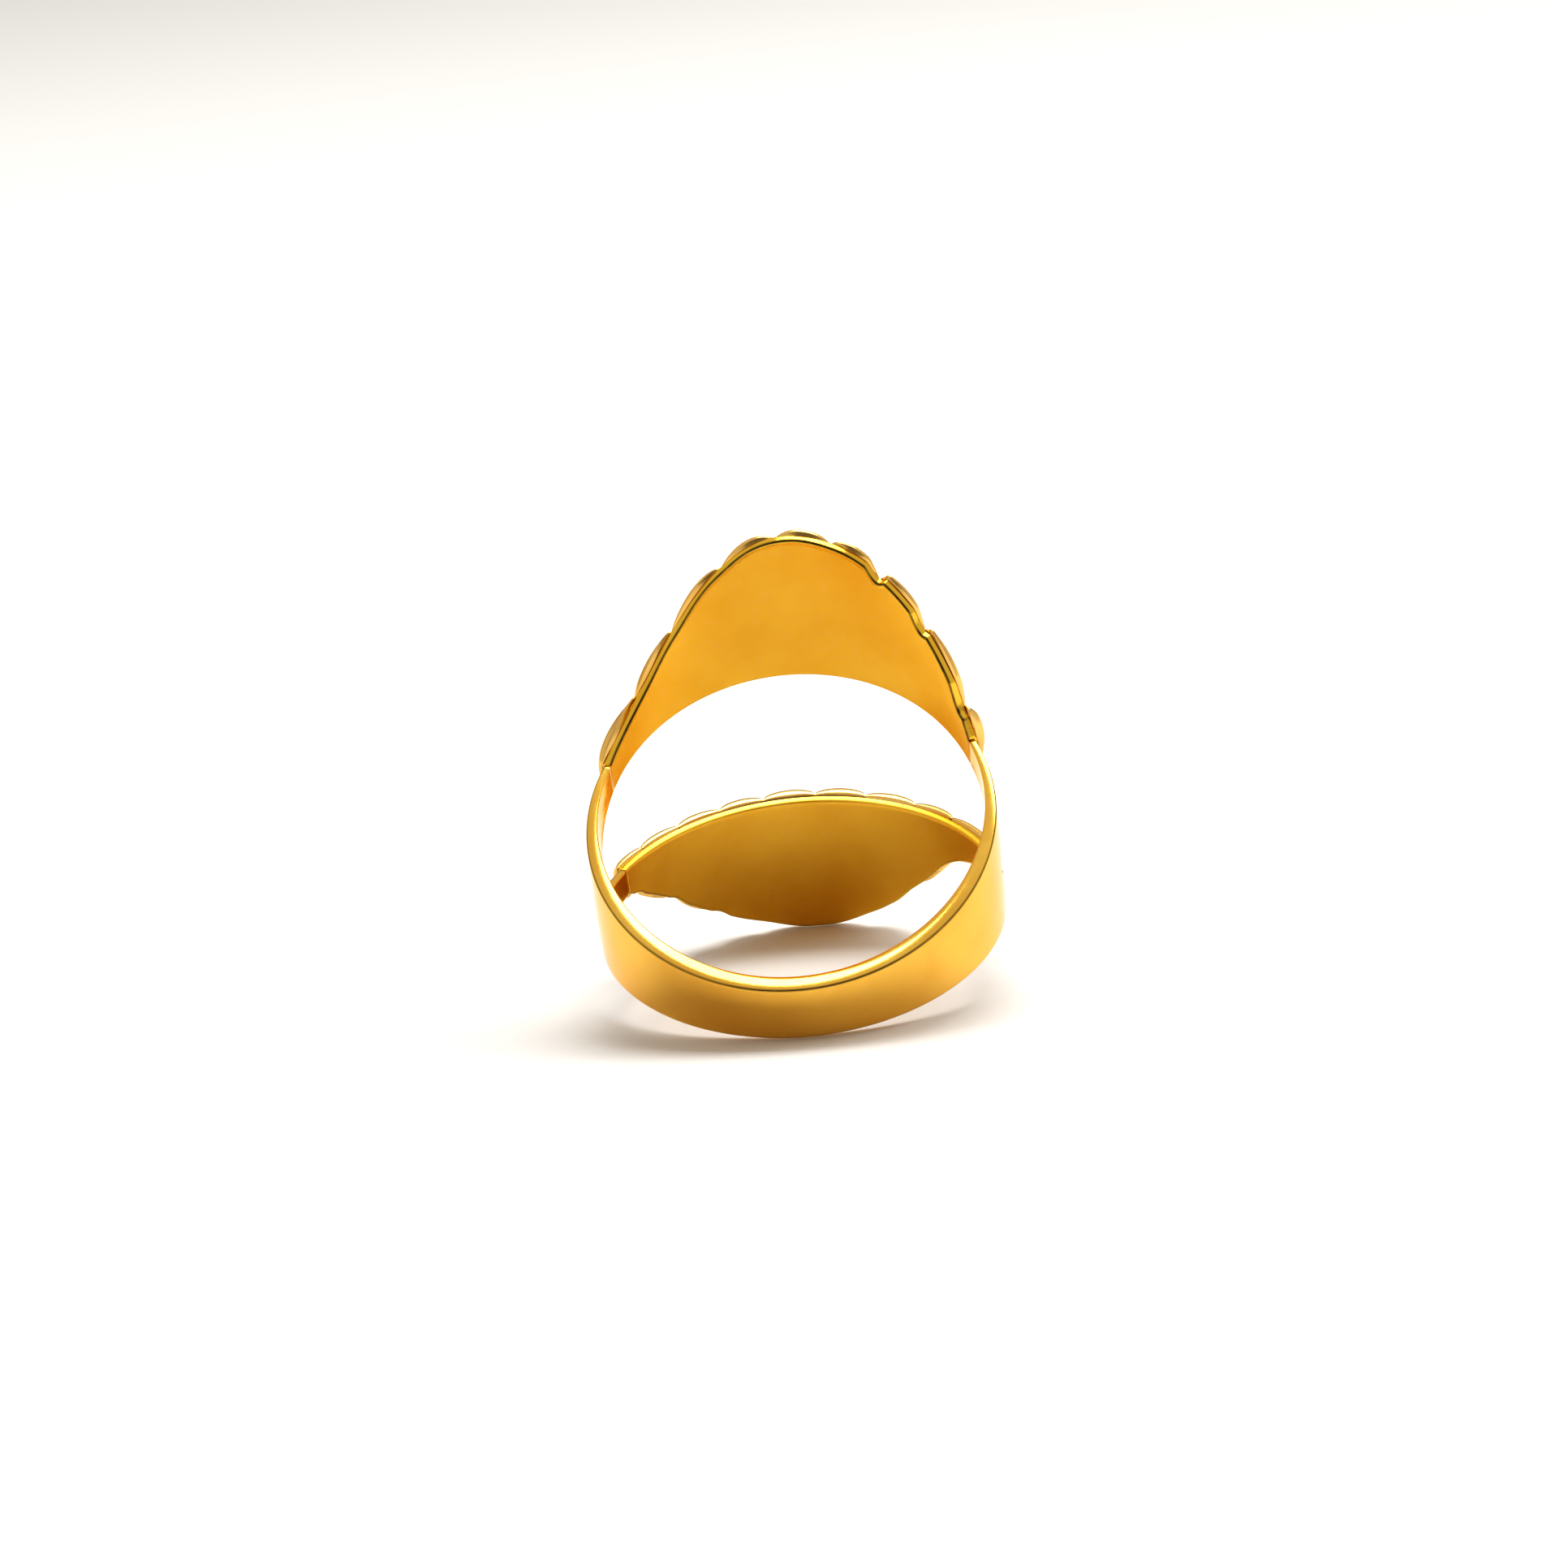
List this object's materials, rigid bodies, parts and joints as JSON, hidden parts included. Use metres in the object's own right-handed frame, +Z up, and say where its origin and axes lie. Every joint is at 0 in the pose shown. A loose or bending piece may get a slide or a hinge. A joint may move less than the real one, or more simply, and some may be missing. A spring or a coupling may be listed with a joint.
{
  "type": "signet ring",
  "caption": "Polished gold dress ring with a plain forked shank and an open head of two crescent panels covered in domed lobes round an eye-shaped window.",
  "frame": {"origin": "centre of the ring's footprint on the table that it rests on, at table height", "axes": "+Z up from the table; +Y from the back of the shank towards the head; +X across the finger hole. The finger hole's axis leans back from +Z towards -Y, as the ring lies on its lower crescent and the back of its shank."},
  "size_m": [0.0192, 0.024, 0.0218],
  "materials": {
    "shank_gold": "polished yellow gold",
    "lining_gold": "yellow gold, smooth, a little softer than a mirror",
    "lobe_gold": "polished yellow gold"
  },
  "bodies": {
    "root": {"lower_lining": "lining_gold", "lower_lobe_1": "lobe_gold", "lower_lobe_2": "lobe_gold", "lower_lobe_3": "lobe_gold", "lower_lobe_4": "lobe_gold", "lower_lobe_5": "lobe_gold", "lower_lobe_6": "lobe_gold", "lower_lobe_7": "lobe_gold", "lower_lobe_8": "lobe_gold", "lower_lobe_9": "lobe_gold", "shank": "shank_gold", "upper_lining": "lining_gold", "upper_lobe_1": "lobe_gold", "upper_lobe_2": "lobe_gold", "upper_lobe_3": "lobe_gold", "upper_lobe_4": "lobe_gold", "upper_lobe_5": "lobe_gold", "upper_lobe_6": "lobe_gold", "upper_lobe_7": "lobe_gold", "upper_lobe_8": "lobe_gold", "upper_lobe_9": "lobe_gold"}
  },
  "joints": []
}
